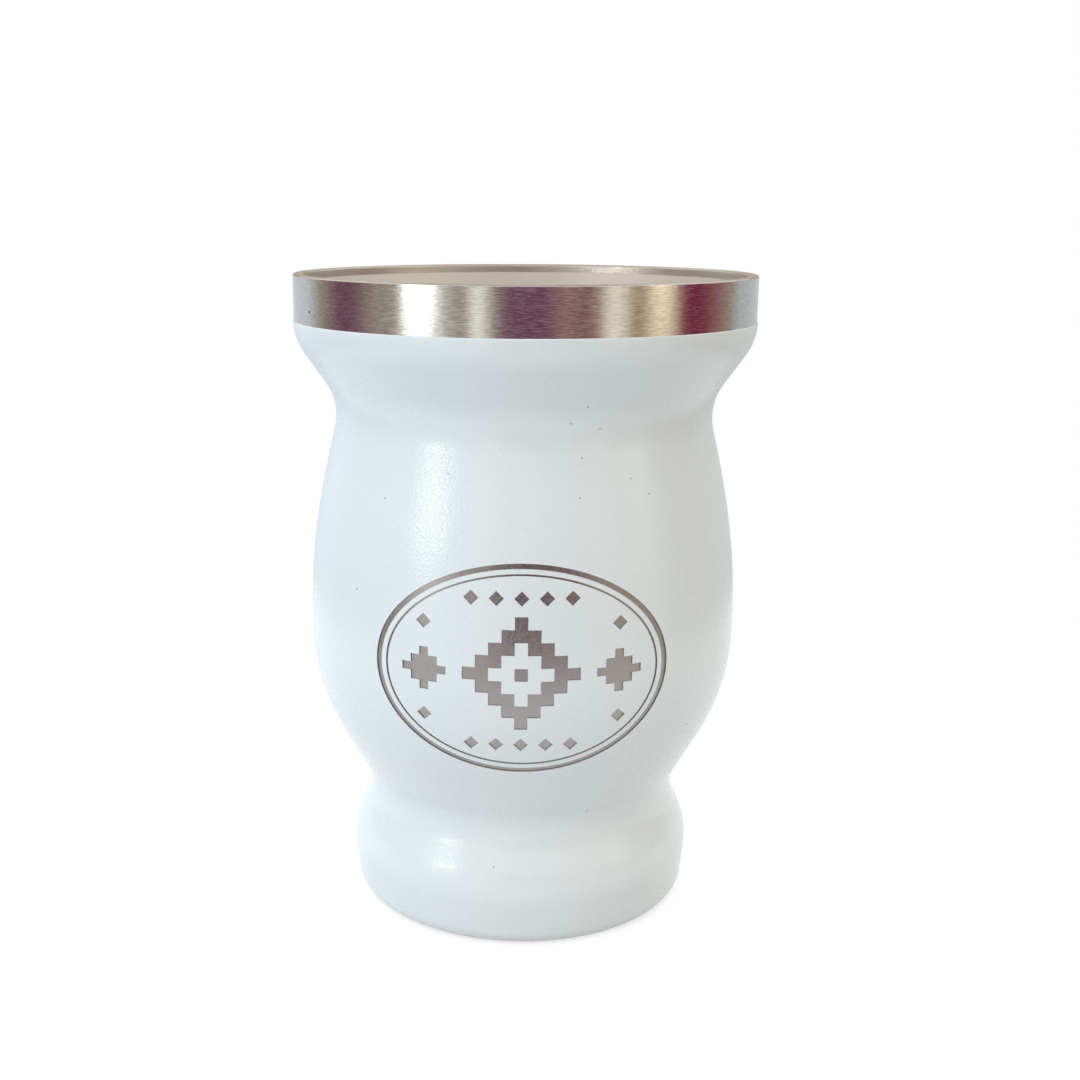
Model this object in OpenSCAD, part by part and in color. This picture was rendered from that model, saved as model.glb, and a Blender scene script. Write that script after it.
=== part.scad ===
// Double-wall mate cup in stainless steel: a bare brushed rim band over a gourd-shaped
// body with a powder coat, and an ornament engraved through the coat down to the steel.
// Millimetres. The axis of the cup is Z, the table is z = 0, and the ornament faces -Y.

/* [Rim] */
// Height of the cup, from the table to the crown of the lip
cup_h = 118; // [110:0.5:128]
// Outside diameter of the bare rim band
rim_d = 84; // [80:0.5:90]
// Height of the bare rim band, from the crown down to the edge of the coat
band_h = 8.2; // [5:0.1:12]
// Width of the lip, measured across its crown
lip_w = 1.9; // [1.6:0.1:2.6]
// Rounding of the lip towards the outside
lip_outer_r = 0.6; // [0.5:0.05:0.8]
// Rounding of the lip towards the drink
lip_inner_r = 1; // [0.5:0.05:1]
// Depth of the weld seam under the crown, on the outside
seam_drop = 0.8; // [0.8:0.05:1.5]

/* [Body outline] */
// Depth under the crown at which the rim band turns into the shoulder
shoulder_drop = 8; // [6:0.1:12]
// Radius of the shoulder's curve
shoulder_r = 10.2; // [7:0.1:12]
// How far the narrowest place of the neck stands in from the rim
neck_in = 7.4; // [5:0.1:10]
// Depth of the narrowest place of the neck under the crown
neck_drop = 25.3; // [23:0.1:30]
// Radius of the hollow of the neck
neck_r = 11; // [6:0.1:14]
// How far the widest place of the belly stands out beyond the neck
belly_out = 5.4; // [3:0.1:8]
// Height of the widest place of the belly above the table
belly_h = 53; // [50:0.5:58]
// Radius of the belly's curve above its widest place
belly_upper_r = 133; // [110:1:160]
// Radius of the belly's curve below its widest place
belly_lower_r = 40; // [36:0.5:44]
// Outside diameter at the narrowest place of the waist
waist_d = 58.6; // [55:0.2:62]
// Height of the narrowest place of the waist above the table
waist_h = 21.1; // [18:0.1:23]
// Radius of the hollow of the waist
waist_r = 8.5; // [6:0.1:16]
// How far the widest place of the foot stands out beyond the waist
foot_flare = 3.2; // [1.5:0.1:5]
// Height of the widest place of the foot above the table
foot_h = 9.4; // [7:0.1:11]
// Radius of the foot's curve at its widest place
foot_r = 13.6; // [5:0.1:16]
// How far the bottom edge stands in from the widest place of the foot
edge_in = 0.6; // [0.2:0.1:1.5]
// Rounding of the bottom edge
edge_r = 3.2; // [1:0.1:4]

/* [Sheet and coat] */
// Thickness of the steel sheet
wall = 0.45; // [0.35:0.01:0.5]
// Clear space between the outer shell and the inner cup
gap = 2.2; // [1.6:0.1:3]
// Thickness of the powder coat
coat_t = 0.2; // [0.1:0.01:0.3]
// How far the coat wraps round the bottom edge, in degrees from the side
coat_wrap = 55; // [20:1:60]

/* [Inner cup] */
// Depth under the crown at which the lip's inner face meets the flared mouth
crease_drop = 1.6; // [1.3:0.1:2.5]
// Height of the flared mouth
flare_h = 2.8; // [1.5:0.1:4]
// Height of the inner floor above the table
floor_h = 30; // [28:0.5:36]
// Rounding between the inner wall and the floor
floor_r = 13; // [8:0.5:14]

/* [Base] */
// Width of the flat ring that the cup stands on
ring_w = 1.4; // [1:0.1:3]
// Rounding from the standing ring up into the collar
collar_bend_r = 1; // [0.7:0.1:1.5]
// Height of the collar's top edge above the table
collar_h = 3.4; // [3:0.1:5]
// Depth of the recess in the underside
recess = 2.2; // [1.6:0.1:2.5]
// Depth of the base plate's skirt, from the underside of its disc
skirt_h = 1.2; // [0.6:0.1:1.4]
// Diameter of the raised field pressed into the base plate
field_d = 34; // [20:1:44]
// Height of that raised field
field_rise = 0.6; // [0.3:0.1:1]

/* [Ornament] */
// Width of the engraved oval
oval_w = 49.6; // [40:0.2:56]
// Height of the engraved oval
oval_h = 37.4; // [30:0.2:42]
// Height of the oval's centre above the widest place of the belly
mark_rise = 1.4; // [-2:0.1:4]
// Width of the oval's heavy outer line
heavy_line = 0.9; // [0.5:0.05:1.4]
// Width of the oval's fine inner line
fine_line = 0.35; // [0.2:0.05:0.6]
// Clear coat between the two lines
line_gap = 0.8; // [0.5:0.05:1.5]
// Height of one step of the large stepped diamond
large_step = 2.2; // [1.6:0.05:2.3]
// Height of one step of the two small stepped diamonds
small_step = 1.5; // [0.9:0.05:1.6]
// Distance from the oval's centre to each small diamond
small_offset = 16.4; // [16:0.1:17]
// Side of the small lozenges
lozenge_s = 1.8; // [1:0.05:2]
// Distance of the lozenges above and below the small diamonds from the oval's long axis
side_rise = 8.2; // [7.8:0.1:8.6]
// Distance of the rows of lozenges above and below the large diamond from the oval's long axis
row_rise = 12.9; // [12.6:0.1:13.4]
// Distance between neighbouring lozenges of a row
row_pitch = 4.2; // [3:0.1:4.6]

/* [Hidden] */
$fn = 96;
STEEL = [0.74, 0.73, 0.71];
STEEL_INSIDE = [0.66, 0.66, 0.65];
COAT_WHITE = [0.92, 0.94, 0.95];
// Steps that each curve of an outline is drawn with
CURVE_STEPS = 10;
// Corners of the oval
OVAL_CORNERS = 72;
// Shares of the room beside their neighbours that a hollow and a bulge may take up
HOLLOW_SHARE = 0.98;
BULGE_SHARE = 0.9;
// Largest angle between the points of the rim's turn
RIM_STEP = 5;
// Steps of the short curve from the coat's edge to the standing ring
EDGE_STEPS = 4;

// Distances of the outline from the axis
rim_r = rim_d / 2;
neck_x = rim_r - neck_in;
belly_x = neck_x + belly_out;
waist_x = waist_d / 2;
foot_x = waist_x + foot_flare;

seam_h = cup_h - seam_drop;
shoulder_h = cup_h - shoulder_drop;
neck_h = cup_h - neck_drop;
coat_top = cup_h - band_h;
// Distances of the inner cup's two faces from the outside of the shell
liner_back = wall + gap;
liner_face = wall + gap + wall;

// The largest bulge whose widest place can stand out by step beyond a hollow that lies a
// given rise above or below it
function bulge_limit(step, rise) = BULGE_SHARE * (rise * rise + step * step) / (2 * step);

shoulder_fit = min(shoulder_r, bulge_limit(neck_in, neck_drop - shoulder_drop));
belly_upper_fit = min(belly_upper_r, bulge_limit(belly_out, neck_h - belly_h));
belly_lower_fit = min(belly_lower_r, bulge_limit(belly_x - waist_x, belly_h - waist_h));
foot_fit = min(foot_r, bulge_limit(foot_flare, waist_h - foot_h));

// Centres of the curves, as [distance from the axis, height]
shoulder_c = [rim_r - shoulder_fit, shoulder_h];
belly_upper_c = [belly_x - belly_upper_fit, belly_h];
belly_lower_c = [belly_x - belly_lower_fit, belly_h];
foot_c = [foot_x - foot_fit, foot_h];
edge_c = [foot_x - edge_in - edge_r, edge_r];

// The largest hollow with its deepest place at [x, h] that a bulge with the given centre
// and radius leaves room for
function hollow_limit(x, h, centre, r) =
    let (u = x - centre.x, v = h - centre.y)
    HOLLOW_SHARE * (u * u + v * v - r * r) / (2 * (r - u));

neck_fit = min(neck_r, hollow_limit(neck_x, neck_h, shoulder_c, shoulder_fit),
               hollow_limit(neck_x, neck_h, belly_upper_c, belly_upper_fit));
waist_fit = min(waist_r, hollow_limit(waist_x, waist_h, belly_lower_c, belly_lower_fit),
                hollow_limit(waist_x, waist_h, foot_c, foot_fit));
neck_c = [neck_x + neck_fit, neck_h];
waist_c = [waist_x + waist_fit, waist_h];

// The angle at which the wall faces where a straight stretch joins a bulge to a hollow:
// below is 1 for a hollow that lies under the bulge and -1 for one above it
function lean(bulge_c, bulge_r, hollow_c, hollow_r, below) =
    let (d = hollow_c - bulge_c)
    atan2(d.y, d.x) + below * acos((bulge_r + hollow_r) / norm(d));

neck_top_lean = lean(shoulder_c, shoulder_fit, neck_c, neck_fit, 1);
neck_bottom_lean = lean(belly_upper_c, belly_upper_fit, neck_c, neck_fit, -1);
waist_top_lean = lean(belly_lower_c, belly_lower_fit, waist_c, waist_fit, 1);
waist_bottom_lean = lean(foot_c, foot_fit, waist_c, waist_fit, -1);
foot_taper = let (d = edge_c - foot_c) atan2(d.y, d.x) + acos((foot_fit - edge_r) / norm(d));

// Points of a bulge and of a hollow between two angles that the wall faces
function bulge(c, r, from, to, steps = CURVE_STEPS) =
    [for (i = [0:steps]) let (a = from + (to - from) * i / steps) c + r * [cos(a), sin(a)]];
function hollow(c, r, from, to) =
    [for (i = [0:CURVE_STEPS]) let (a = from + (to - from) * i / CURVE_STEPS) c - r * [cos(a), sin(a)]];
function without_first(points) = [for (i = [1:len(points) - 1]) points[i]];
function backwards(points) = [for (i = [len(points) - 1:-1:0]) points[i]];

// The angle that the wall faces at a level called top, which is 0 from the shoulder upwards
function top_lean(d, top) =
    min(0, asin((top - shoulder_h) / max(shoulder_fit - d, shoulder_h - top)));

// The outline of the body, moved inwards by d, from a level called top down to the belly
function upper_outline(d, top) =
    concat(top > shoulder_h ? [[rim_r - d, top]] : [],
           bulge(shoulder_c, shoulder_fit - d, top_lean(d, top), neck_top_lean),
           hollow(neck_c, neck_fit + d, neck_top_lean, neck_bottom_lean),
           bulge(belly_upper_c, belly_upper_fit - d, neck_bottom_lean, 0));

// The rest of the outline, from the belly to the bottom edge, which stops at an angle
function lower_outline(d, stop) =
    concat(without_first(bulge(belly_lower_c, belly_lower_fit - d, 0, waist_top_lean)),
           hollow(waist_c, waist_fit + d, waist_top_lean, waist_bottom_lean),
           bulge(foot_c, foot_fit - d, waist_bottom_lean, foot_taper),
           bulge(edge_c, edge_r - d, foot_taper, stop));

// The coated stretch, and round it the whole sheet from the weld seam to the standing ring
function coated_outline(d) = concat(upper_outline(d, coat_top), lower_outline(d, -coat_wrap));
function sheet_outline(d) =
    let (start = top_lean(d, coat_top), steps = ceil(-start / RIM_STEP))
    concat([[rim_r - d, seam_h]], start < 0 ? bulge(shoulder_c, shoulder_fit - d, 0, start, steps) : [],
           without_first(coated_outline(d)),
           without_first(bulge(edge_c, edge_r - d, -coat_wrap, -90, EDGE_STEPS)));

// The standing ring ends in a collar that rises towards the base plate
collar_r = edge_c.x - ring_w - collar_bend_r;
collar_c = [collar_r + collar_bend_r, collar_bend_r];
function collar_outline(d) =
    concat(bulge(collar_c, collar_bend_r - d, -90, -180), [[collar_r + d, collar_h]]);

// Outer shell: one drawn and expanded sheet from the weld seam to the collar
module outer_shell() {
    outside = concat(sheet_outline(0), collar_outline(0));
    inside = concat(sheet_outline(wall), collar_outline(wall));
    color(STEEL) rotate_extrude() polygon(concat(outside, backwards(inside)));
}

// The lip is the inner cup's own sheet, rolled over the crown down to the seam
function lip_outline(d) =
    concat([[rim_r - d, seam_h]],
           bulge([rim_r - lip_outer_r, cup_h - lip_outer_r], lip_outer_r - d, 0, 90),
           bulge([rim_r - lip_w + lip_inner_r, cup_h - lip_inner_r], lip_inner_r - d, 90, 180));

// Under the lip the mouth flares inwards to the body of the inner cup
mouth_r = rim_r - lip_w;
flare_lean = atan((liner_face - lip_w) / flare_h);
flare_bottom = cup_h - crease_drop - flare_h;
function flare_outline(d) =
    let (drop = d * tan(flare_lean / 2)) [[mouth_r + d, cup_h - crease_drop - drop]];

// The floor's rounding touches the belly's curve from inside
floor_c = let (rise = floor_h + floor_r - belly_h, r = belly_lower_fit - liner_face - floor_r)
    [belly_lower_c.x + sqrt(r * r - rise * rise), floor_h + floor_r];
floor_lean = atan2(floor_c.y - belly_lower_c.y, floor_c.x - belly_lower_c.x);
function bowl_outline(d) =
    let (back = liner_face - d)
    concat(upper_outline(d, flare_bottom - back * tan(flare_lean / 2)),
           without_first(bulge(belly_lower_c, belly_lower_fit - d, 0, floor_lean)),
           without_first(bulge(floor_c, floor_r + back, floor_lean, -90)),
           [[0, floor_h - back]]);

// Inner cup: the vessel itself, with its lip
module inner_cup() {
    face = concat(lip_outline(0), flare_outline(0), bowl_outline(liner_face));
    back = concat(lip_outline(wall), flare_outline(wall), bowl_outline(liner_back));
    color(STEEL_INSIDE) rotate_extrude() polygon(concat(face, backwards(back)));
}

// Base plate: a pressed disc whose skirt stands inside the shell's collar
module base_plate() {
    skirt_bottom = recess - skirt_h;
    field_r = field_d / 2;
    slope = field_rise;
    top = [[collar_r, skirt_bottom], [collar_r, recess + wall], [field_r + slope, recess + wall],
           [field_r, recess + wall + field_rise], [0, recess + wall + field_rise]];
    under = [[collar_r - wall, skirt_bottom], [collar_r - wall, recess], [field_r + slope, recess],
             [field_r, recess + field_rise], [0, recess + field_rise]];
    color(STEEL) rotate_extrude() polygon(concat(top, backwards(under)));
}

// An oval inside the engraved one by a given margin
module oval(margin) {
    half = [oval_w / 2 - margin, oval_h / 2 - margin];
    polygon([for (i = [0:OVAL_CORNERS - 1]) let (a = i * 360 / OVAL_CORNERS) [half.x * cos(a), half.y * sin(a)]]);
}

module oval_line(margin, line) {
    difference() {
        oval(margin);
        oval(margin + line);
    }
}

// A diamond with stepped sides: rows of one height, each two steps shorter than the last
module stepped_diamond(step, rows) {
    for (i = [0:rows - 1]) square([(2 * (rows - i) - 1) * step, (2 * i + 1) * step], center = true);
}

module lozenge() {
    rotate(45) square(lozenge_s, center = true);
}

// The ornament: a double oval round a large stepped diamond, with a small one on each side
// and lozenges above and below
module ornament() {
    oval_line(0, heavy_line);
    oval_line(heavy_line + line_gap, fine_line);
    difference() {
        stepped_diamond(large_step, 5);
        stepped_diamond(large_step, 3);
    }
    square(large_step, center = true);
    for (side = [-1, 1]) translate([side * small_offset, 0]) stepped_diamond(small_step, 3);
    for (level = [-1, 1]) {
        for (side = [-1, 1]) translate([side * small_offset, level * side_rise]) lozenge();
        for (place = [-2:2]) translate([place * row_pitch, level * row_rise]) lozenge();
    }
}

// Powder coat: a thin skin on the shell, burnt away where the ornament shows bare steel
module powder_coat() {
    color(COAT_WHITE) difference() {
        rotate_extrude() polygon(concat(coated_outline(-coat_t), backwards(coated_outline(0))));
        translate([0, 0, belly_h + mark_rise]) rotate([90, 0, 0]) linear_extrude(2 * belly_x) ornament();
    }
}

outer_shell();
inner_cup();
base_plate();
powder_coat();
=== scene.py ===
# A double-wall mate cup of stainless steel with a white powder coat, set up on a pale table.
# Sizes are in millimetres, as on the drawing, and become metres where a mesh is made.
import math

import bmesh
import bpy
from mathutils import Matrix


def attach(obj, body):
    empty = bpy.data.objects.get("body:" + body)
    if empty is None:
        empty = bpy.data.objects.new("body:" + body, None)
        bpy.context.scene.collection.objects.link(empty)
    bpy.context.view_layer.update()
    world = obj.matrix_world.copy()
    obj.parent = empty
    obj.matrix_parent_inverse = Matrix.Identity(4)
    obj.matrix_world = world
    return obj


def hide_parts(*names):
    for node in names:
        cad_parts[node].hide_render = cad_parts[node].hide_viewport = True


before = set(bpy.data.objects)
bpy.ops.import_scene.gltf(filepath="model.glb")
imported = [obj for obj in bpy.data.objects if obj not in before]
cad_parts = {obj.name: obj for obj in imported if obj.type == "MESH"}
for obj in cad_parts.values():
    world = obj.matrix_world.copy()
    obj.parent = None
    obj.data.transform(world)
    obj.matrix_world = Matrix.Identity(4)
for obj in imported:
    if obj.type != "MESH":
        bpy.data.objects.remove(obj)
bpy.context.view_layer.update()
bpy.ops.object.select_all(action="DESELECT")


# Outer shell. One sheet of stainless steel, drawn to a tube, expanded in a gourd-shaped
# mould and turned in under the foot to the ring that the cup stands on. Its rim is brushed
# bare; further down the bare steel shows only where a laser has burnt the coat away.
MM = 0.001
SIDES = 256
SHEET = 0.45
CROWN = 118.0
RIM_R, NECK_R, BELLY_R, WAIST_R, FOOT_R, EDGE_R = 42.0, 34.6, 40.0, 29.3, 32.5, 31.9
SHOULDER_H, NECK_H, BELLY_H, WAIST_H, FOOT_H = 110.0, 92.7, 53.0, 21.1, 9.4
SHOULDER_BEND, NECK_BEND, UPPER_BEND, LOWER_BEND = 10.2, 11.0, 133.0, 40.0
WAIST_BEND, FOOT_BEND, EDGE_BEND = 8.5, 13.6, 3.2
# The curves of the wall from the top down: the centre's distance from the axis, its height,
# and the radius, which is negative where the wall is hollow
SHOULDER = (RIM_R - SHOULDER_BEND, SHOULDER_H, SHOULDER_BEND)
NECK = (NECK_R + NECK_BEND, NECK_H, -NECK_BEND)
UPPER_BELLY = (BELLY_R - UPPER_BEND, BELLY_H, UPPER_BEND)
LOWER_BELLY = (BELLY_R - LOWER_BEND, BELLY_H, LOWER_BEND)
WAIST = (WAIST_R + WAIST_BEND, WAIST_H, -WAIST_BEND)
FOOT = (FOOT_R - FOOT_BEND, FOOT_H, FOOT_BEND)
BOTTOM_EDGE = (EDGE_R - EDGE_BEND, EDGE_BEND, EDGE_BEND)
WALL_CURVES = [SHOULDER, NECK, UPPER_BELLY, LOWER_BELLY, WAIST, FOOT, BOTTOM_EDGE]
# The ring that the cup stands on, and the collar that rises inside it
RING_W = 1.4
COLLAR_BEND = 1.0
COLLAR_TOP = 3.4
COLLAR_R = BOTTOM_EDGE[0] - RING_W - COLLAR_BEND
# The weld seam on the crown, a fine groove, and the lip's rounding outside it
SEAM_R = 41.4
HAIRLINE = 0.1
LIP_OUTER = 0.35
# The steel is brushed down to here, just under the edge of the coat
BRUSHED_TO = 109.5
BAND_SPECK, BAND_SPECK_R = (-36.5, 112.2), 0.2
# Degrees that one step of a line turns on a curve of 1 mm radius, and how much finer the
# steps are on small bends and on a face that is out of sight
STEP_TURN = 10
SMALL_BEND, OUT_OF_SIGHT = 2.0, 0.5
SHORTEST_STEP, MERGED_WITHIN = 0.002, 0.005
SHARP_EDGE = math.radians(32)
# A noise pattern seldom leaves the first span; the tone of the brush lines turns in the second
NOISE_SPAN, TONE_SPAN = (0.3, 0.7), (0.35, 0.65)


def arc(curve, offset, start, end, fineness=1.0):
    """Points of a curved stretch of wall, moved inwards by offset, between two facings."""
    x, h, r = curve[0], curve[1], curve[2] - offset
    steps = max(3, math.ceil(fineness * abs(end - start) * math.sqrt(abs(r)) / STEP_TURN))
    turns = [math.radians(start + (end - start) * i / steps) for i in range(steps + 1)]
    return [(x + r * math.cos(a), h + r * math.sin(a)) for a in turns]


def facing(upper, lower):
    """The way that the wall faces, in degrees, on the straight stretch between two curves."""
    dx, dh = lower[0] - upper[0], lower[1] - upper[1]
    lean = math.acos(min(1.0, (upper[2] - lower[2]) / math.hypot(dx, dh)))
    return math.degrees(math.atan2(dh, dx) + lean)


def wall_line(offset, top, stop, fineness=1.0):
    """The wall's line from a height down to where it faces an angle, moved inwards."""
    start = math.degrees(math.asin(min(0.0, (top - SHOULDER_H) / (SHOULDER_BEND - offset))))
    turns = [start] + [facing(a, b) for a, b in zip(WALL_CURVES, WALL_CURVES[1:])] + [stop]
    line = []
    for curve, first, last in zip(WALL_CURVES, turns, turns[1:]):
        line += arc(curve, offset, first, last, fineness)
    return line


def spun(name, line):
    """Turns a line round the axis into a piece. The line closes on itself or on the axis."""
    bpy.ops.mesh.primitive_plane_add(size=MM, location=(line[0][0] * MM, 0, line[0][1] * MM))
    piece = bpy.context.object
    piece.name = name
    bpy.ops.object.mode_set(mode="EDIT")
    bpy.ops.mesh.select_all(action="SELECT")
    bpy.ops.mesh.merge(type="CENTER")
    for (r0, h0), (r1, h1) in zip(line, line[1:]):
        if math.hypot(r1 - r0, h1 - h0) > SHORTEST_STEP:
            step = ((r1 - r0) * MM, 0, (h1 - h0) * MM)
            bpy.ops.mesh.extrude_region_move(TRANSFORM_OT_translate={"value": step})
    bpy.ops.mesh.select_all(action="SELECT")
    bpy.ops.mesh.spin(steps=SIDES, angle=math.tau, center=(0, 0, 0), axis=(0, 0, 1))
    bpy.ops.mesh.select_all(action="SELECT")
    bpy.ops.mesh.remove_doubles(threshold=MERGED_WITHIN * MM)
    bpy.ops.mesh.normals_make_consistent(inside=False)
    bpy.ops.object.mode_set(mode="OBJECT")
    bpy.ops.object.transform_apply(location=True, rotation=True, scale=True)
    bpy.ops.object.shade_smooth_by_angle(angle=SHARP_EDGE)
    return piece


def nodes_of(material):
    """Turns a material's nodes on and returns its tree and its shader."""
    material.use_nodes = True
    tree = material.node_tree
    return tree, tree.nodes["Principled BSDF"]


def add(tree, kind, **settings):
    """Adds a node. A name with i_ and a number sets that input, or links an output to it."""
    n = tree.nodes.new("ShaderNode" + kind)
    for key, value in settings.items():
        if not key.startswith("i_"):
            setattr(n, key, value)
        elif isinstance(value, bpy.types.NodeSocket):
            tree.links.new(value, n.inputs[int(key[2:])])
        else:
            n.inputs[int(key[2:])].default_value = value
    return n


def ranged(tree, value, low, high, first=0.0, last=1.0, **settings):
    """Maps a value between low and high onto first to last, and stops there."""
    n = add(tree, "MapRange", i_0=value, i_1=low, i_2=high, i_3=first, i_4=last, **settings)
    return n.outputs[0]


def mixed(tree, share, first, second):
    """Mixes two colours by a share; each is given or comes from another node."""
    return add(tree, "MixRGB", i_0=share, i_1=first, i_2=second).outputs[0]


def most_of(tree, values):
    """The largest of several values."""
    most = values[0]
    for value in values[1:]:
        most = add(tree, "Math", operation="MAXIMUM", i_0=most, i_1=value).outputs[0]
    return most


def new_group(name, inputs, output):
    """Starts a node group of numbers and returns it with the nodes at its two ends."""
    group = bpy.data.node_groups.new(name, "ShaderNodeTree")
    for socket in inputs:
        group.interface.new_socket(socket, in_out="INPUT", socket_type="NodeSocketFloat")
    group.interface.new_socket(output, in_out="OUTPUT", socket_type="NodeSocketFloat")
    return group, group.nodes.new("NodeGroupInput"), group.nodes.new("NodeGroupOutput")


def placed(tree, group, **values):
    """Places a node group with its own values and returns what it puts out."""
    n = add(tree, "Group", node_tree=group)
    for socket, value in values.items():
        n.inputs[socket].default_value = value
    return n.outputs[0]


def brush_group():
    """Marks of a brushing belt that ran round the axis: fine lines that fade in and out."""
    group, source, sink = new_group("belt_marks", ("Along", "Across"), "Lines")
    spot = add(group, "SeparateXYZ", i_0=add(group, "TexCoord").outputs["Object"])
    flat = add(group, "CombineXYZ", i_0=spot.outputs["X"], i_1=spot.outputs["Y"])
    radius = add(group, "VectorMath", operation="LENGTH", i_0=flat.outputs[0])
    stretched = []
    for value, by in ((spot.outputs["X"], "Along"), (spot.outputs["Y"], "Along"),
                      (spot.outputs["Z"], "Across"), (radius.outputs["Value"], "Across")):
        product = add(group, "Math", operation="MULTIPLY", i_0=value, i_1=source.outputs[by])
        stretched.append(product.outputs[0])
    x, y, z, w = stretched
    lines = add(group, "TexNoise", noise_dimensions="4D")
    lines.inputs["Scale"].default_value = 1.0
    lines.inputs["Detail"].default_value = 3.0
    lines.inputs["Roughness"].default_value = 0.6
    where = add(group, "CombineXYZ", i_0=x, i_1=y, i_2=z)
    group.links.new(where.outputs[0], lines.inputs["Vector"])
    group.links.new(w, lines.inputs["W"])
    group.links.new(lines.outputs["Fac"], sink.inputs["Lines"])
    return group


def grain_group():
    """Fine grain that stays in place on the piece: blasted steel, or the peel of a coat."""
    group, source, sink = new_group("fine_grain", ("Fineness", "Detail"), "Grain")
    noise = add(group, "TexNoise")
    group.links.new(add(group, "TexCoord").outputs["Object"], noise.inputs["Vector"])
    group.links.new(source.outputs["Fineness"], noise.inputs["Scale"])
    group.links.new(source.outputs["Detail"], noise.inputs["Detail"])
    group.links.new(noise.outputs["Fac"], sink.inputs["Grain"])
    return group


def speck_group():
    """One small round speck on the front of the cup, seen straight from the front."""
    group, source, sink = new_group("dark_speck", ("Sideways", "Height", "Radius"), "Mask")
    spot = add(group, "SeparateXYZ", i_0=add(group, "TexCoord").outputs["Object"])
    flat = add(group, "CombineXYZ", i_0=spot.outputs["X"], i_2=spot.outputs["Z"])
    middle = add(group, "CombineXYZ", i_0=source.outputs["Sideways"], i_2=source.outputs["Height"])
    away = add(group, "VectorMath", operation="DISTANCE", i_0=flat.outputs[0], i_1=middle.outputs[0])
    dot = add(group, "Math", operation="LESS_THAN", i_0=away.outputs["Value"], i_1=source.outputs["Radius"])
    front = add(group, "Math", operation="LESS_THAN", i_0=spot.outputs["Y"], i_1=0.0)
    seen = add(group, "Math", operation="MULTIPLY", i_0=dot.outputs[0], i_1=front.outputs[0])
    group.links.new(seen.outputs[0], sink.inputs["Mask"])
    return group


def specks(tree, spots, radius):
    """A mask of specks; each spot is a distance sideways and a height."""
    return most_of(tree, [placed(tree, dark_speck, Sideways=x * MM, Height=h * MM, Radius=radius * MM)
                          for x, h in spots])


def dull_by(tree, shader, pattern, smooth, dull):
    """Lets a pattern run the roughness of the surface from smooth to dull."""
    tree.links.new(ranged(tree, pattern, *NOISE_SPAN, smooth, dull), shader.inputs["Roughness"])


def raise_by(tree, shader, pattern, strength, depth):
    """Lets a pattern raise the surface by a depth in millimetres."""
    relief = add(tree, "Bump")
    relief.inputs["Strength"].default_value = strength
    relief.inputs["Distance"].default_value = depth * MM
    tree.links.new(pattern, relief.inputs["Height"])
    tree.links.new(relief.outputs[0], shader.inputs["Normal"])


belt_marks, fine_grain, dark_speck = brush_group(), grain_group(), speck_group()

# From the seam over the lip, down the wall, round under the foot, up the collar and back
# inside the sheet
shell_line = arc((SEAM_R + HAIRLINE, CROWN - HAIRLINE, HAIRLINE), 0, 180, 90, SMALL_BEND)
shell_line += arc((RIM_R - LIP_OUTER, CROWN - LIP_OUTER, LIP_OUTER), 0, 90, 0, SMALL_BEND)
shell_line += wall_line(0, SHOULDER_H, -90)
collar_curve = (COLLAR_R + COLLAR_BEND, COLLAR_BEND, COLLAR_BEND)
shell_line += arc(collar_curve, 0, -90, -180, SMALL_BEND)
shell_line += [(COLLAR_R, COLLAR_TOP), (COLLAR_R + SHEET, COLLAR_TOP)]
shell_line += arc(collar_curve, SHEET, -180, -90, SMALL_BEND)
shell_line += wall_line(SHEET, SHOULDER_H, -90, OUT_OF_SIGHT)[::-1]
shell_line += [(SEAM_R, CROWN - SHEET), shell_line[0]]
shell = spun("outer_shell_sheet", shell_line)

brushed = bpy.data.materials.new("brushed_steel")
tree, shader = nodes_of(brushed)
shader.inputs["Metallic"].default_value = 1.0
shader.inputs["Anisotropic"].default_value = 0.85
shader.inputs["Anisotropic Rotation"].default_value = 0.25
lines = placed(tree, belt_marks, Along=600.0, Across=6000.0)
tone = mixed(tree, ranged(tree, lines, *TONE_SPAN), (0.54, 0.52, 0.49, 1), (0.71, 0.69, 0.66, 1))
marked = mixed(tree, specks(tree, [BAND_SPECK], BAND_SPECK_R), tone, (0.10, 0.09, 0.08, 1))
tree.links.new(marked, shader.inputs["Base Color"])
dull_by(tree, shader, lines, smooth=0.16, dull=0.25)
raise_by(tree, shader, lines, strength=0.7, depth=0.022)

etched = bpy.data.materials.new("etched_steel")
tree, shader = nodes_of(etched)
shader.inputs["Metallic"].default_value = 1.0
grain = placed(tree, fine_grain, Fineness=2600.0, Detail=2.0)
tone = mixed(tree, grain, (0.26, 0.24, 0.23, 1), (0.40, 0.37, 0.36, 1))
tree.links.new(tone, shader.inputs["Base Color"])
dull_by(tree, shader, grain, smooth=0.3, dull=0.44)
raise_by(tree, shader, grain, strength=0.3, depth=0.02)

shell.data.materials.append(brushed)
shell.data.materials.append(etched)
bpy.ops.object.mode_set(mode="EDIT")
for face in bmesh.from_edit_mesh(shell.data).faces:
    face.select_set(face.calc_center_median().z < BRUSHED_TO * MM)
shell.active_material_index = 1
bpy.ops.object.material_slot_assign()
bpy.ops.object.mode_set(mode="OBJECT")
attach(shell, "root")
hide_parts("outer_shell")


# Inner cup. A second drawn sheet that holds the drink, 2.2 mm inside the shell. Its mouth
# flares out to a rolled lip, which is welded to the shell on the crown and polished down.
GAP = 2.2
LINER = SHEET + GAP + SHEET
LIP_W = 1.9
MOUTH_R = RIM_R - LIP_W
LIP_INNER = 0.45
# How deep under the crown the flare of the mouth begins, and how tall it is
CREASE, FLARE = 1.6, 2.8
FLOOR_H, FLOOR_BEND = 30.0, 13.0
FLOOR_FINENESS = 1.5
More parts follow.
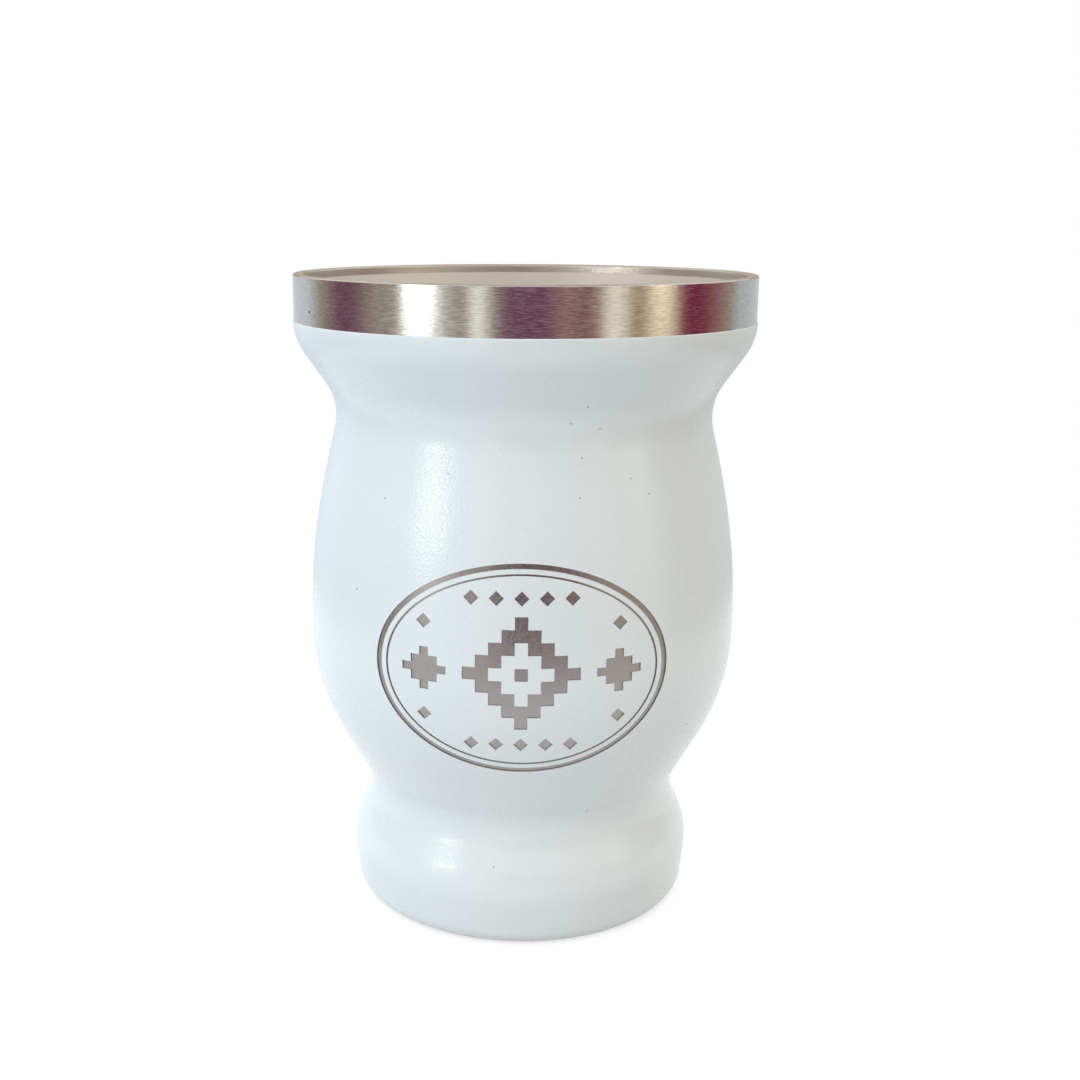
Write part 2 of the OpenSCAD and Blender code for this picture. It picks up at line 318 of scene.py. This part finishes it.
# The line follows the shell's curves to just above the belly's widest place, then its own
OWN_FROM = BELLY_H + 0.01
MOUTH_EDGE = math.radians(18)


def liner_line(depth):
    """The inner cup's line, a depth inside its sheet, from the seam to the middle of the floor."""
    if depth == 0:
        line = arc((SEAM_R - HAIRLINE, CROWN - HAIRLINE, HAIRLINE), 0, 0, 90, SMALL_BEND)
    else:
        line = [(SEAM_R, CROWN - depth)]
    line += arc((MOUTH_R + LIP_INNER, CROWN - LIP_INNER, LIP_INNER), depth, 90, 180, SMALL_BEND)
    inset = LINER - depth
    line += [(MOUTH_R + depth, CROWN - CREASE), (RIM_R - inset, CROWN - CREASE - FLARE)]
    line += [point for point in wall_line(inset, SHOULDER_H, -90) if point[1] > OWN_FROM]
    # The floor's bend lies inside the lower curve of the belly and touches it
    rise, reach = FLOOR_H + FLOOR_BEND - BELLY_H, LOWER_BEND - LINER - FLOOR_BEND
    middle = (LOWER_BELLY[0] + math.sqrt(reach ** 2 - rise ** 2), FLOOR_H + FLOOR_BEND)
    turn = math.degrees(math.atan2(rise, middle[0] - LOWER_BELLY[0]))
    line += arc(LOWER_BELLY, inset, 0, turn)
    line += arc((*middle, FLOOR_BEND), -depth, turn, -90, FLOOR_FINENESS)
    return line + [(0, FLOOR_H - depth)]


liner = spun("inner_cup_sheet", liner_line(0)[::-1] + liner_line(SHEET))
satin = bpy.data.materials.new("satin_steel")
tree, shader = nodes_of(satin)
shader.inputs["Base Color"].default_value = (0.65, 0.61, 0.56, 1)
shader.inputs["Metallic"].default_value = 1.0
shader.inputs["Anisotropic"].default_value = 0.3
shader.inputs["Anisotropic Rotation"].default_value = 0.25
lines = placed(tree, belt_marks, Along=250.0, Across=5000.0)
dull_by(tree, shader, lines, smooth=0.36, dull=0.48)
grain = placed(tree, fine_grain, Fineness=2600.0, Detail=2.0)
raise_by(tree, shader, grain, strength=0.8, depth=0.07)
liner.data.materials.append(satin)
bpy.ops.object.shade_smooth_by_angle(angle=MOUTH_EDGE)
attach(liner, "root")
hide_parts("inner_cup")


# Base plate. A pressed disc of the same sheet with a shallow raised field, pushed up into
# the shell's collar so that its skirt can be welded there.
PLATE_H = 2.2
SKIRT_H = 1.2
SKIRT_BEND = 0.9
FIELD_R = 17.0
FIELD_RISE = 0.6
# How the disc steps up to its raised field: distance outside the field's radius, and rise
FIELD_STEP = [(1.2, 0.0), (0.9, 0.06), (0.0, FIELD_RISE - 0.06), (-0.4, FIELD_RISE)]


def plate_line(depth):
    """One face of the plate from its skirt to its middle; depth is 0 on top."""
    top = PLATE_H + SHEET - depth
    edge, bend = COLLAR_R - depth, SKIRT_BEND - depth
    line = [(edge, PLATE_H - SKIRT_H)] + arc((edge - bend, top - bend, bend), 0, 0, 90, SMALL_BEND)
    line += [(FIELD_R + out, top + rise) for out, rise in FIELD_STEP]
    return line + [(0, top + FIELD_RISE)]


plate = spun("base_plate_disc", plate_line(0)[::-1] + plate_line(SHEET))
plate.data.materials.append(satin)
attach(plate, "root")
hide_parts("base_plate")


# Powder coat. A skin 0.2 mm thick, baked on the shell from under the bare rim down round
# the bottom edge. A laser has burnt the ornament through it to the steel: a double oval
# round a large stepped diamond, with two small ones and lozenges.
COAT = 0.2
COAT_TOP = 109.8
COAT_WRAP = -55
EDGE_FINENESS, BACK_FINENESS = 3.0, 0.6
# The coat ends in a rounded brink under the rim band and in a rounded hem under the foot
brink_h = COAT_TOP - COAT
brink = math.asin((brink_h - SHOULDER_H) / SHOULDER_BEND)
brink_r = SHOULDER[0] + SHOULDER_BEND * math.cos(brink)
hem = math.radians(COAT_WRAP)
hem_r = BOTTOM_EDGE[0] + EDGE_BEND * math.cos(hem)
hem_h = BOTTOM_EDGE[1] + EDGE_BEND * math.sin(hem)
coat_line = arc((brink_r, brink_h, COAT), 0, 90, 0, EDGE_FINENESS)
coat_line += wall_line(-COAT, brink_h, COAT_WRAP)
coat_line += arc((hem_r, hem_h, COAT), 0, COAT_WRAP, COAT_WRAP - 90, EDGE_FINENESS)
coat_line += wall_line(0, brink_h, COAT_WRAP, BACK_FINENESS)[::-1]
coat_line += [coat_line[0]]
coat = spun("powder_coat_skin", coat_line)

# The ornament is cut by stencils that stand in front of the cup and reach into the coat
MARK_H = 54.4
CUT_Y, CUT_DEPTH = -46.0, 26.0
OVAL_CORNERS = 192
# Half the width, half the height and the width of the line
HEAVY_OVAL, FINE_OVAL = (24.8, 18.7, 0.9), (23.1, 17.0, 0.35)
# The width of a step and the number of steps from the middle to a point
LARGE_STEP, LARGE_REACH, LARGE_HOLLOW = 2.2, 4, (1, 2)
SMALL_STEP, SMALL_REACH = 1.5, 2
LOZENGE = 1.8
SIDE_X, SIDE_RISE = 16.4, 8.2
ROW_STEP, ROW_RISE = 4.2, 12.9


def upright(x, h):
    """Where a flat shape stands in front of the cup, and how it is turned."""
    return {"location": (x * MM, CUT_Y * MM, h * MM), "rotation": (math.pi / 2, 0, 0)}


def pushed_through(name):
    """Gives the flat shape in edit mode its depth and names it as a cutter."""
    bpy.ops.mesh.select_all(action="SELECT")
    bpy.ops.mesh.extrude_region_move(TRANSFORM_OT_translate={"value": (0, CUT_DEPTH * MM, 0)})
    bpy.ops.mesh.select_all(action="SELECT")
    bpy.ops.mesh.normals_make_consistent(inside=False)
    bpy.ops.object.mode_set(mode="OBJECT")
    cutter = bpy.context.object
    cutter.name = name
    bpy.ops.object.transform_apply(location=True, rotation=True, scale=True)
    return cutter


def oval_cutter(name, half_w, half_h, line):
    """A ring between two ovals."""
    bpy.ops.mesh.primitive_circle_add(vertices=OVAL_CORNERS, radius=MM, **upright(0, MARK_H))
    bpy.ops.object.mode_set(mode="EDIT")
    bpy.ops.mesh.select_all(action="SELECT")
    bpy.ops.transform.resize(value=(half_w, 1, half_h))
    bpy.ops.mesh.duplicate()
    bpy.ops.transform.resize(value=((half_w - line) / half_w, 1, (half_h - line) / half_h))
    bpy.ops.mesh.select_all(action="SELECT")
    bpy.ops.mesh.bridge_edge_loops()
    return pushed_through(name)


def diamond_cutter(name, x, step, reach, hollow=()):
    """A diamond with stepped sides, cut from a grid of squares; hollow lists the steps left out."""
    count = 2 * reach + 1
    bpy.ops.mesh.primitive_grid_add(x_subdivisions=count, y_subdivisions=count,
                                    size=count * step * MM, **upright(x, MARK_H))
    bpy.ops.object.mode_set(mode="EDIT")
    for face in bmesh.from_edit_mesh(bpy.context.object.data).faces:
        spot = face.calc_center_median()
        away = round(abs(spot.x) / step / MM) + round(abs(spot.y) / step / MM)
        face.select_set(away > reach or away in hollow)
    bpy.ops.mesh.delete(type="FACE")
    return pushed_through(name)


def lozenge_cutter(name, x, rise):
    """A small square set on its corner."""
    bpy.ops.mesh.primitive_circle_add(vertices=4, radius=LOZENGE / math.sqrt(2) * MM,
                                      fill_type="NGON", **upright(x, MARK_H + rise))
    bpy.ops.object.mode_set(mode="EDIT")
    return pushed_through(name)


cutters = [oval_cutter("heavy_oval", *HEAVY_OVAL), oval_cutter("fine_oval", *FINE_OVAL),
           diamond_cutter("large_diamond", 0, LARGE_STEP, LARGE_REACH, LARGE_HOLLOW),
           diamond_cutter("left_diamond", -SIDE_X, SMALL_STEP, SMALL_REACH),
           diamond_cutter("right_diamond", SIDE_X, SMALL_STEP, SMALL_REACH)]
for level in (-1, 1):
    for side in (-1, 1):
        cutters.append(lozenge_cutter("side_lozenge", side * SIDE_X, level * SIDE_RISE))
    for column in range(-2, 3):
        cutters.append(lozenge_cutter("row_lozenge", column * ROW_STEP, level * ROW_RISE))
bpy.ops.object.select_all(action="DESELECT")
for cutter in cutters:
    cutter.select_set(True)
bpy.context.view_layer.objects.active = cutters[0]
bpy.ops.object.join()
stencil = bpy.context.object
bpy.ops.object.select_all(action="DESELECT")
coat.select_set(True)
bpy.context.view_layer.objects.active = coat
burn = coat.modifiers.new("burn", "BOOLEAN")
burn.operation = "DIFFERENCE"
burn.solver = "EXACT"
burn.object = stencil
bpy.ops.object.modifier_apply(modifier=burn.name)
bpy.data.objects.remove(stencil)
bpy.ops.object.shade_smooth_by_angle(angle=SHARP_EDGE)

SPECK_R = 0.17
SPECKS = [(-12.3, 87.0), (9.3, 83.5), (10.4, 98.3), (7.7, 95.5), (12.5, 94.4), (9.6, 89.8),
          (17.8, 86.0), (21.1, 83.2), (-23.3, 81.8), (-28.5, 65.5), (12.0, 24.9), (-4.6, 15.2),
          (29.7, 40.1)]
powder = bpy.data.materials.new("white_powder_coat")
tree, shader = nodes_of(powder)
dusted = mixed(tree, specks(tree, SPECKS, SPECK_R), (0.83, 0.855, 0.865, 1), (0.50, 0.50, 0.50, 1))
tree.links.new(dusted, shader.inputs["Base Color"])
peel = placed(tree, fine_grain, Fineness=2200.0, Detail=1.0)
dull_by(tree, shader, peel, smooth=0.18, dull=0.3)
raise_by(tree, shader, peel, strength=0.7, depth=0.065)
coat.data.materials.append(powder)
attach(coat, "root")
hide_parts("powder_coat")


# Table. A plain pale round top under the cup. It looks white to the camera and in the
# steel, and keeps the cup's own shadow.
TABLE_R = 250.0
TABLE_CORNERS = 128
TABLE_GLOW = 0.62
bpy.ops.mesh.primitive_circle_add(vertices=TABLE_CORNERS, radius=TABLE_R * MM, fill_type="NGON",
                                  location=(0, 0, 0))
table_top = bpy.context.object
table_top.name = "table_top"
white = bpy.data.materials.new("white_table")
tree, shader = nodes_of(white)
shader.inputs["Base Color"].default_value = (0.52, 0.525, 0.535, 1)
shader.inputs["Roughness"].default_value = 0.9
shader.inputs["Specular IOR Level"].default_value = 0.1
shader.inputs["Emission Color"].default_value = (1, 1, 1, 1)
path = add(tree, "LightPath")
rays = ("Is Camera Ray", "Is Glossy Ray", "Is Transmission Ray")
seen = most_of(tree, [path.outputs[ray] for ray in rays])
glow = add(tree, "Math", operation="MULTIPLY", i_0=seen, i_1=TABLE_GLOW)
tree.links.new(glow.outputs[0], shader.inputs["Emission Strength"])
table_top.data.materials.append(white)


# Studio. Soft light from all round, cooler at the left and warmer at the right, with one
# lamp low at the left in front and a weak warm one at the right. The camera sees plain
# white; bare metal mirrors the room, with its dark corners, a window and warm walls.
WHITE = (1, 1, 1, 1)
# The soft light, the way towards its warm side, and how gently its halves run into each other
COOL_ABOVE, WARM_ABOVE = (1.08, 1.185, 1.25, 1), (0.79, 0.705, 0.54, 1)
COOL_BELOW, WARM_BELOW = (0.54, 0.63, 0.70, 1), (0.29, 0.27, 0.245, 1)
WARM_SIDE, WARM_SPAN, ABOVE_SPAN = (0.906, -0.423, 0), (0.1, 1.0), (-0.3, 0.3)
# The room's ceiling, what hangs overhead and the cupboard behind, and where each one begins
CEILING, OVERHEAD, CUPBOARD = (0.95, 0.93, 0.87, 1), (0.56, 0.50, 0.44, 1), (0.45, 0.35, 0.27, 1)
CEILING_SPAN, OVERHEAD_SPAN = (0.2, 0.38), (0.75, 0.9)
CUPBOARD_SPAN, CUPBOARD_FOOT = (0.8, 0.93), (0.0, 0.05)
# The walls all round the cup: degrees from the camera's side towards the right, and a colour
DAY, SKY, WINDOW, HAZE = (0.68, 0.74, 0.80), (1.06, 1.10, 1.10), (1.3, 1.3, 1.22), (0.56, 0.58, 0.60)
OLIVE, STONE, CLAY = (0.38, 0.33, 0.28), (0.50, 0.46, 0.40), (0.33, 0.30, 0.25)
BEIGE, OCHRE, GOLD = (1.12, 1.08, 0.92), (0.42, 0.29, 0.17), (1.0, 0.85, 0.61)
PLUM, DUSK, WINE = (0.15, 0.02, 0.09), (0.18, 0.07, 0.12), (0.21, 0.0, 0.05)
BROWN, CHERRY = (0.33, 0.16, 0.14), (0.20, 0.07, 0.08)
ROOM = [(-130, DAY), (-116, OLIVE), (-100, DUSK), (-90, DUSK), (-74, OLIVE), (-63, OLIVE),
        (-58, SKY), (-44, SKY), (-36, STONE), (-30, CLAY), (-27, CLAY), (-24, WINDOW),
        (-20.5, WINDOW), (-16, OLIVE), (-9, PLUM), (11, PLUM), (18, BROWN), (22, BROWN),
        (29, CHERRY), (35, BROWN), (40, BEIGE), (45, BEIGE), (53, OCHRE), (58, OCHRE),
        (64, GOLD), (72, GOLD), (81, WINE), (92, WINE), (106, BROWN), (116, OLIVE),
        (126, HAZE), (180, DAY)]
world = bpy.data.worlds.new("studio")
bpy.context.scene.world = world
world.use_nodes = True
tree = world.node_tree
way = add(tree, "TexCoord").outputs["Generated"]
parts = add(tree, "SeparateXYZ", i_0=way)
right, back, up = parts.outputs["X"], parts.outputs["Y"], parts.outputs["Z"]
ahead = add(tree, "Math", operation="MULTIPLY", i_0=back, i_1=-1.0)
around = add(tree, "Math", operation="ARCTAN2", i_0=right, i_1=ahead.outputs[0])
walls = add(tree, "ValToRGB", i_0=ranged(tree, around.outputs[0], -math.pi, math.pi))
ramp = walls.color_ramp
while len(ramp.elements) < len(ROOM):
    ramp.elements.new(0.0)
for stop, (turn, colour) in reversed(list(zip(ramp.elements, ROOM))):
    stop.position = (turn + 180) / 360
    stop.color = (*colour, 1)
cupboard = add(tree, "Math", operation="MULTIPLY", i_0=ranged(tree, back, *CUPBOARD_SPAN),
               i_1=ranged(tree, up, *CUPBOARD_FOOT))
room = mixed(tree, ranged(tree, up, *CEILING_SPAN), walls.outputs[0], CEILING)
room = mixed(tree, ranged(tree, up, *OVERHEAD_SPAN), room, OVERHEAD)
room = mixed(tree, cupboard.outputs[0], room, CUPBOARD)
toward = add(tree, "VectorMath", operation="DOT_PRODUCT", i_0=way, i_1=WARM_SIDE)
side = ranged(tree, toward.outputs["Value"], *WARM_SPAN, interpolation_type="SMOOTHSTEP")
below, above = mixed(tree, side, COOL_BELOW, WARM_BELOW), mixed(tree, side, COOL_ABOVE, WARM_ABOVE)
softened = mixed(tree, ranged(tree, up, *ABOVE_SPAN), below, above)
path = add(tree, "LightPath")
lit = mixed(tree, path.outputs["Is Glossy Ray"], softened, room)
plain = most_of(tree, [path.outputs["Is Camera Ray"], path.outputs["Is Transmission Ray"]])
tree.links.new(mixed(tree, plain, lit, WHITE), tree.nodes["Background"].inputs["Color"])
# The height that the lamps look at and their distance from it, in metres
LAMP_AIM, LAMP_AWAY = 0.06, 1.4


def soft_box(name, turn, rise, width, tall, power, colour):
    """A lamp, sized in metres, that looks at the cup from a turn and a rise in degrees."""
    a, e = math.radians(turn), math.radians(rise)
    level = LAMP_AWAY * math.cos(e)
    spot = (level * math.sin(a), -level * math.cos(a), LAMP_AIM + LAMP_AWAY * math.sin(e))
    bpy.ops.object.light_add(type="AREA", location=spot, rotation=(math.pi / 2 - e, 0, a))
    lamp = bpy.context.object
    lamp.name = name
    lamp.data.shape = "ELLIPSE"
    lamp.data.size, lamp.data.size_y = width, tall
    lamp.data.energy = power
    lamp.data.color = colour


soft_box("left_box", -50.5, 9.2, 0.38, 0.26, 2.2, (1.0, 1.0, 1.0))
soft_box("right_box", 66, 13, 0.34, 0.3, 0.4, (1.0, 0.92, 0.74))


# Camera. It stands 26 cm in front of the cup's axis, a little above the rim, and looks down
# past it. Its place is in metres, and its view is given in pixels of the square picture.
FRAME_PX = 1080
LENS_PX = 1400.9
MIDDLE_PX = (489.8, 559.5)
SENSOR = 36.0
NEAREST = 0.01
EYE = (0.0, -0.2604, 0.12931)
PITCH, TURN, ROLL = math.radians(14.06), math.radians(1.37), math.radians(0.21)
bpy.ops.object.camera_add(location=EYE)
camera = bpy.context.object
camera.data.sensor_width = SENSOR
camera.data.lens = SENSOR * LENS_PX / FRAME_PX
camera.data.shift_x = (FRAME_PX / 2 - MIDDLE_PX[0]) / FRAME_PX
camera.data.shift_y = (MIDDLE_PX[1] - FRAME_PX / 2) / FRAME_PX
camera.data.clip_start = NEAREST
camera.matrix_world = (Matrix.Translation(EYE) @ Matrix.Rotation(TURN, 4, "Z")
                       @ Matrix.Rotation(math.pi / 2 - PITCH, 4, "X") @ Matrix.Rotation(ROLL, 4, "Z"))
bpy.context.scene.camera = camera
bpy.context.scene.view_settings.view_transform = "Standard"
